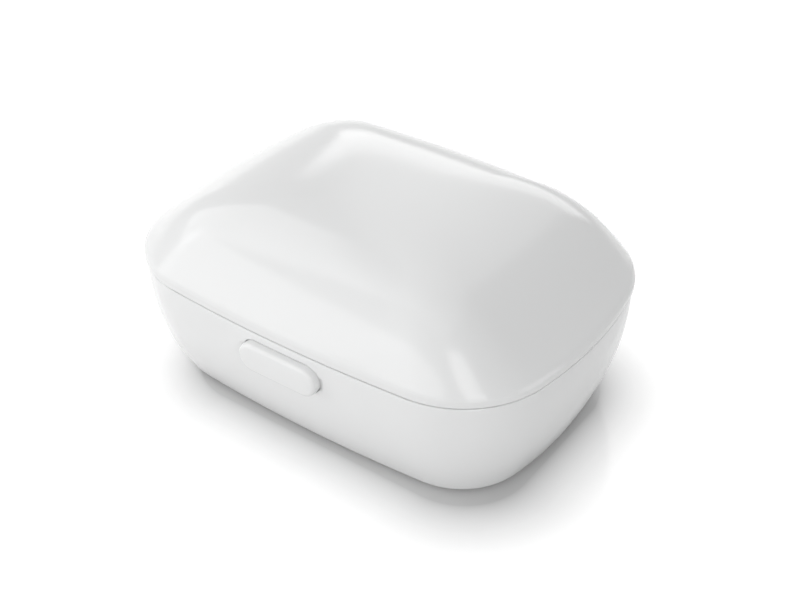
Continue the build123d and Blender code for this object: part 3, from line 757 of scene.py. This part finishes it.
# %% Materials of the charger
FINISHES = {
    "white_case": ((0.86, 0.865, 0.865), 0.15, 0.18, 260, 0.0, 0.0),
    "white_button": ((0.86, 0.865, 0.865), 0.16, 0.19, 260, 0.0, 0.0),
    "inner_plastic": ((0.78, 0.785, 0.785), 0.38, 0.46, 1400, 0.15, 0.0),
    "tray_plastic": ((0.05, 0.053, 0.057), 0.4, 0.5, 1400, 0.2, 0.0),
    "soft_pad": ((0.09, 0.093, 0.097), 0.6, 0.7, 1100, 0.2, 0.0),
    "foot_rubber": ((0.05, 0.05, 0.052), 0.6, 0.72, 1100, 0.2, 0.0),
    "spring_steel": ((0.62, 0.62, 0.63), 0.2, 0.3, 1600, 0.0, 1.0),
    "screw_steel": ((0.45, 0.45, 0.46), 0.25, 0.38, 1600, 0.0, 1.0),
    "pin_steel": ((0.7, 0.7, 0.71), 0.12, 0.18, 1600, 0.0, 1.0),
    "contact_gold": ((0.83, 0.6, 0.24), 0.15, 0.22, 1600, 0.0, 1.0),
    "board_green": ((0.02, 0.13, 0.06), 0.3, 0.4, 900, 0.0, 0.0),
    "chip_black": ((0.02, 0.02, 0.022), 0.4, 0.55, 1400, 0.1, 0.0),
    "light_yellow": ((0.8, 0.75, 0.5), 0.3, 0.35, 1400, 0.0, 0.0),
    "socket_steel": ((0.55, 0.55, 0.56), 0.22, 0.32, 1600, 0.0, 1.0),
    "battery_grey": ((0.4, 0.41, 0.42), 0.35, 0.45, 1200, 0.0, 1.0),
}
materials = {name: finish_of(name, *values) for name, values in FINISHES.items()}
materials["clear_pipe"] = finish_of("clear_pipe", (0.94, 0.96, 0.97), 0.04, 0.06, 900, through=1.0)
slots = {part["node"]: part["material_slot"] for part in frame["record"]["subparts"]}
for name, solid in nodes.items():
    solid.data.materials.clear()
    solid.data.materials.append(materials[slots[name]])
print("materials:", sorted(materials))

# %% [markdown]
# ## Finished skins on their bodies
#
# Each skin now takes its material, hides the solid that it stands for and rides on that solid's body, so
# that the lid's skin opens with the lid and the button's skin moves in with the button.

# %% Place the skins
def dress(piece, node, body):
    """Gives a piece its finish and lets it stand for a node."""
    slot = slots[node]
    if not piece.data.materials:
        piece.data.materials.append(materials[slot])
    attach(piece, body)
    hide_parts(node)


dress(lid_piece, "lid_shell", "lid")
dress(liner_piece, "lid_liner", "lid")
dress(base_piece, "base_shell", "base")
dress(button_piece, "release_button", "button")

# %% [markdown]
# ## Wire springs
#
# A coil spring is round wire that follows a helix. The tree draws the helix with a Spiral and sweeps a
# small circle along it. The two springs behind the button are the same winding at two places.

# %% Springs from a geometry tree
SPRING_TURNS = 5.0
SPRING_X = 8.8 * MM
SPRING_WIRE = 0.2 * MM
POINTS_PER_TURN = 32
WIRE_SIDES = 12
tree, source, output = new_tree("wire_spring", (
    ("Turns", "NodeSocketFloat", SPRING_TURNS),
    ("Radius", "NodeSocketFloat", 1.0 * MM),
    ("Length", "NodeSocketFloat", 5.0 * MM),
    ("Wire", "NodeSocketFloat", SPRING_WIRE),
    ("Finish", "NodeSocketMaterial", None),
))
spiral = tree.nodes.new("GeometryNodeCurveSpiral")
spiral.inputs["Resolution"].default_value = POINTS_PER_TURN
for socket, label in (
    ("Rotations", "Turns"), ("Start Radius", "Radius"), ("End Radius", "Radius"), ("Height", "Length"),
):
    tree.links.new(source.outputs[label], spiral.inputs[socket])
section = tree.nodes.new("GeometryNodeCurvePrimitiveCircle")
section.inputs["Resolution"].default_value = WIRE_SIDES
tree.links.new(source.outputs["Wire"], section.inputs["Radius"])
sweep = tree.nodes.new("GeometryNodeCurveToMesh")
sweep.inputs["Fill Caps"].default_value = True
tree.links.new(spiral.outputs["Curve"], sweep.inputs["Curve"])
tree.links.new(section.outputs["Curve"], sweep.inputs["Profile Curve"])
finish_tree(tree, sweep.outputs["Mesh"], source, output)

low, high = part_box("button_springs")
spring_z = (low.z + high.z) / 2
along_y = Matrix.Rotation(math.radians(-90), 4, "X")
places = [
    Matrix.Translation((side * SPRING_X, low.y + SPRING_WIRE, spring_z)) @ along_y
    for side in (-1, 1)
]
values = {
    "Turns": SPRING_TURNS,
    "Radius": (high.z - low.z) / 2 - SPRING_WIRE,
    "Length": high.y - low.y - 2 * SPRING_WIRE,
    "Wire": SPRING_WIRE,
    "Finish": materials["spring_steel"],
}
springs_piece = grow("button_spring_wire", tree, values, places)
dress(springs_piece, "button_springs", "base")
print("spring triangles:", len(springs_piece.data.polygons) * 2)

# %% [markdown]
# ## Rubber feet
#
# Each foot is a low disc with a softened lower edge. One disc is drawn as rings, and a tree puts it on
# the four corners of a grid, which keeps the pattern exact and its two spreads easy to change.

# %% Feet on a grid
tree, source, output = new_tree("four_places", (
    ("Form", "NodeSocketObject", None),
    ("Spread X", "NodeSocketFloat", 0.04),
    ("Spread Y", "NodeSocketFloat", 0.04),
    ("Finish", "NodeSocketMaterial", None),
))
grid = tree.nodes.new("GeometryNodeMeshGrid")
grid.inputs["Vertices X"].default_value = 2
grid.inputs["Vertices Y"].default_value = 2
tree.links.new(source.outputs["Spread X"], grid.inputs["Size X"])
tree.links.new(source.outputs["Spread Y"], grid.inputs["Size Y"])
form = tree.nodes.new("GeometryNodeObjectInfo")
tree.links.new(source.outputs["Form"], form.inputs["Object"])
scatter = tree.nodes.new("GeometryNodeInstanceOnPoints")
tree.links.new(grid.outputs["Mesh"], scatter.inputs["Points"])
tree.links.new(form.outputs["Geometry"], scatter.inputs["Instance"])
finish_tree(tree, scatter.outputs["Instances"], source, output)

FOOT_RADIUS = 4.0
FOOT_THICK = 1.2
FOOT_ROUND = 0.3
FOOT_STEPS = 6
rows = []
for across, along in quarter_round(FOOT_STEPS):
    points = circle(0, 0, FOOT_RADIUS - FOOT_ROUND * along)
    rows.append([(x, y, FOOT_ROUND * across) for x, y in points])
rows.append([(x, y, FOOT_THICK) for x, y in circle(0, 0, FOOT_RADIUS)])
one_foot = skin("one_foot", rows)
low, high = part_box("rubber_feet")
values = {
    "Form": one_foot,
    "Spread X": high.x - low.x - 2 * FOOT_RADIUS * MM,
    "Spread Y": high.y - low.y - 2 * FOOT_RADIUS * MM,
    "Finish": materials["foot_rubber"],
}
feet_piece = grow("soft_feet", tree, values, [Matrix.Translation((0, CASE_Y * MM, 0))])
bpy.data.objects.remove(one_foot)
dress(feet_piece, "rubber_feet", "base")
print("feet triangles:", sum(len(p.vertices) - 2 for p in feet_piece.data.polygons))

# %% [markdown]
# ## Floor and background
#
# The charger stands on a white table that runs out of sight. The floor shows a soft shadow near the case
# and pure white elsewhere. More light would also wash out the case, so the floor adds a little white of its
# own. That glow is nothing at the foot of the case and grows to its full strength a short way off, so the
# shadow near the foot is partly cast by the lamps and partly painted by the missing glow. The camera,
# mirrored rays and rays through clear parts see the glow. Soft bounced light doesn't, so it doesn't light
# the case from below. The world shows plain white to the same rays, and lights the scene with much less.

# %% Rays that see the white
def seen_rays(tree):
    """Socket that is 1 for the rays that show a thing: from the camera, mirrored or through clear parts."""
    path = tree.nodes.new("ShaderNodeLightPath")
    value = path.outputs["Is Camera Ray"]
    for label in ("Is Glossy Ray", "Is Transmission Ray"):
        either = tree.nodes.new("ShaderNodeMath")
        either.operation = "MAXIMUM"
        tree.links.new(value, either.inputs[0])
        tree.links.new(path.outputs[label], either.inputs[1])
        value = either.outputs["Value"]
    return value


# %% [markdown]
# The painted shadow follows the distance to the foot of the case, taken as that to a rectangle with round
# corners: it is the length of what is left of a place after its own inner rectangle is taken off, less the
# corner's radius. The rectangle is shifted a little, so that the painted shadow reaches further to the
# right and to the front.

# %% Glow that grows away from the case, which paints a shadow at its foot
# The floor's glow is left out near the case, which paints a shadow there. These sizes give the painted
# shadow's reach, its curve, how far its rectangle is shrunk and where it is shifted.
PAINTED_SHADOW_REACH = 16.0
PAINTED_SHADOW_BEND = 0.6
PAINTED_SHADOW_INSET_X = 1.5 * FOOT_INSET_X
FOOT_HALF = (HALF_LENGTH - PAINTED_SHADOW_INSET_X, HALF_WIDTH - FOOT_INSET_Y)
FOOT_CORNER = CORNER - FOOT_INSET_X
PAINTED_SHADOW_SHIFT = (4.0, -1.0, 0)


def painted_shadow_glow_share(tree):
    """Share of the floor's glow: 0 at the case's foot, 1 at PAINTED_SHADOW_REACH away, which paints the
    shadow.
    """
    place = tree.nodes.new("ShaderNodeTexCoord").outputs["Object"]
    inner = (FOOT_HALF[0] - FOOT_CORNER, FOOT_HALF[1] - FOOT_CORNER, 0)
    for operation, values in (
        ("SUBTRACT", PAINTED_SHADOW_SHIFT), ("ABSOLUTE", None), ("SUBTRACT", inner),
        ("MAXIMUM", (0, 0, 0)), ("LENGTH", None),
    ):
        step = tree.nodes.new("ShaderNodeVectorMath")
        step.operation = operation
        tree.links.new(place, step.inputs[0])
        if values:
            step.inputs[1].default_value = [value * MM for value in values]
        place = step.outputs["Value" if operation == "LENGTH" else "Vector"]
    ramp = tree.nodes.new("ShaderNodeMapRange")
    ramp.inputs["From Min"].default_value = FOOT_CORNER * MM
    ramp.inputs["From Max"].default_value = (FOOT_CORNER + PAINTED_SHADOW_REACH) * MM
    tree.links.new(place, ramp.inputs["Value"])
    bend = tree.nodes.new("ShaderNodeMath")
    bend.operation = "POWER"
    bend.inputs[1].default_value = PAINTED_SHADOW_BEND
    tree.links.new(ramp.outputs["Result"], bend.inputs[0])
    return bend.outputs["Value"]


print("glow grows over", PAINTED_SHADOW_REACH, "mm")

# %% Floor
FLOOR_SIZE = 3.0
FLOOR_COLOUR = (0.65, 0.65, 0.65)
FLOOR_ROUGHNESS = 0.12
FLOOR_GLOW = 0.6


def make_floor():
    """Large plane with a satin white surface, with a painted shadow near the case and plain white far away.
    """
    bm = bmesh.new()
    bmesh.ops.create_grid(bm, x_segments=1, y_segments=1, size=FLOOR_SIZE)
    mesh = bpy.data.meshes.new("floor")
    bm.to_mesh(mesh)
    bm.free()
    floor = bpy.data.objects.new("floor", mesh)
    collection.objects.link(floor)
    material = bpy.data.materials.new("floor_white_painted_shadow")
    material.use_nodes = True
    tree = material.node_tree
    shader = tree.nodes["Principled BSDF"]
    shader.inputs["Base Color"].default_value = (*FLOOR_COLOUR, 1)
    shader.inputs["Roughness"].default_value = FLOOR_ROUGHNESS
    glow = tree.nodes.new("ShaderNodeEmission")
    scale = tree.nodes.new("ShaderNodeMath")
    scale.operation = "MULTIPLY"
    scale.inputs[1].default_value = FLOOR_GLOW
    both = tree.nodes.new("ShaderNodeAddShader")
    amount = tree.nodes.new("ShaderNodeMath")
    amount.operation = "MULTIPLY"
    # The glow is held back near the case's foot, which paints the shadow on the floor.
    tree.links.new(seen_rays(tree), amount.inputs[0])
    tree.links.new(painted_shadow_glow_share(tree), amount.inputs[1])
    tree.links.new(amount.outputs["Value"], scale.inputs[0])
    tree.links.new(scale.outputs["Value"], glow.inputs["Strength"])
    tree.links.new(shader.outputs["BSDF"], both.inputs[0])
    tree.links.new(glow.outputs["Emission"], both.inputs[1])
    tree.links.new(both.outputs["Shader"], tree.nodes["Material Output"].inputs["Surface"])
    mesh.materials.append(material)


make_floor()
print("floor is", 2 * FLOOR_SIZE, "m wide")

# %% World
WORLD_LIGHT = 0.18


def make_world():
    """World that lights the scene evenly and shows plain white to the rays that show a thing."""
    world = bpy.data.worlds.new("studio")
    world.use_nodes = True
    bpy.context.scene.world = world
    tree = world.node_tree
    lit = tree.nodes["Background"]
    lit.inputs["Color"].default_value = (1, 1, 1, 1)
    lit.inputs["Strength"].default_value = WORLD_LIGHT
    seen = tree.nodes.new("ShaderNodeBackground")
    seen.inputs["Color"].default_value = (1, 1, 1, 1)
    mix = tree.nodes.new("ShaderNodeMixShader")
    tree.links.new(seen_rays(tree), mix.inputs["Fac"])
    tree.links.new(lit.outputs["Background"], mix.inputs[1])
    tree.links.new(seen.outputs["Background"], mix.inputs[2])
    tree.links.new(mix.outputs["Shader"], tree.nodes["World Output"].inputs["Surface"])


make_world()
print("world lights with", WORLD_LIGHT)

# %% [markdown]
# ## Lamps
#
# The case is lit by area lamps, each given by the direction it shines from: an azimuth, which is 0 in
# front of the button and grows towards the right end, and an elevation, then a width, a height and a
# power. Five large lamps close to the case give the broad, soft gradients that gloss plastic shows in a
# studio tent. Three narrow ones draw the streaks: on the lid's near corner, along its back edge and on
# the right end.

# %% Lamps
LAMP_DISTANCE = 0.9
LAMP_AIM = Vector((0, CASE_Y * MM, 0.025))
LAMPS = {
    "front_low": (0, 14, 0.7, 0.7, 2.1),
    "front_left_low": (315, 14, 0.7, 0.7, 2.3),
    "corner_strip": (50, 26, 0.28, 0.9, 2.2),
    "right_low": (105, 6, 0.5, 0.3, 0.7),
    "left_middle": (280, 40, 0.7, 0.7, 2.1),
    "back_low": (199, 21, 0.8, 0.26, 1.3),
    "back_middle": (195, 50, 0.7, 0.7, 1.2),
    "top": (0, 88, 0.7, 0.7, 0.9),
}


def add_lamp(name, azimuth, elevation, width, height, power):
    """Rectangular area lamp that looks at the middle of the case."""
    a, e = math.radians(azimuth), math.radians(elevation)
    away = Vector((math.sin(a) * math.cos(e), -math.cos(a) * math.cos(e), math.sin(e)))
    light = bpy.data.lights.new(name, "AREA")
    light.shape = "RECTANGLE"
    light.size = width
    light.size_y = height
    light.energy = power
    lamp = bpy.data.objects.new(name, light)
    lamp.location = LAMP_AIM + away * LAMP_DISTANCE
    lamp.rotation_mode = "QUATERNION"
    lamp.rotation_quaternion = away.to_track_quat("Z", "Y")
    collection.objects.link(lamp)


for name, values in LAMPS.items():
    add_lamp(name, *values)
print("lamps:", len(LAMPS), "with", round(sum(values[-1] for values in LAMPS.values()), 1), "W together")

# %% [markdown]
# ## Camera
#
# The viewing angle, distance and lens were found by laying the rule's outlines over the photograph's
# edges until they agreed. The camera looks down from the front right with a moderate lens, and two small
# offsets put the case where the photograph frames it. The lens is worked out for a picture 800 wide.

# %% Camera
CAMERA_AZIMUTH = 0.623
CAMERA_ELEVATION = 0.636
CAMERA_FOCUS = 1359.7
CAMERA_DISTANCE = 5.795
CAMERA_RIGHT = -0.057
CAMERA_UP = 0.080
AIM_HEIGHT = 0.45
PICTURE_WIDTH = 800
SENSOR = 36.0

back = Vector((
    math.sin(CAMERA_AZIMUTH) * math.cos(CAMERA_ELEVATION),
    -math.cos(CAMERA_AZIMUTH) * math.cos(CAMERA_ELEVATION),
    math.sin(CAMERA_ELEVATION),
))
right = Vector((math.cos(CAMERA_AZIMUTH), math.sin(CAMERA_AZIMUTH), 0))
up = back.cross(right)
aim = Vector((0, CASE_Y / HALF_LENGTH, AIM_HEIGHT))
eye = (aim - CAMERA_RIGHT * right - CAMERA_UP * up + CAMERA_DISTANCE * back) * HALF_LENGTH * MM
lens = bpy.data.cameras.new("camera")
lens.sensor_width = SENSOR
lens.lens = CAMERA_FOCUS / PICTURE_WIDTH * SENSOR
lens.clip_start = 0.01
camera = bpy.data.objects.new("camera", lens)
camera.matrix_world = Matrix((
    (right.x, up.x, back.x, eye.x),
    (right.y, up.y, back.y, eye.y),
    (right.z, up.z, back.z, eye.z),
    (0, 0, 0, 1),
))
collection.objects.link(camera)
bpy.context.scene.camera = camera
bpy.context.scene.view_settings.view_transform = "Standard"
print("camera at", [round(v, 4) for v in eye], "lens", round(lens.lens, 2))
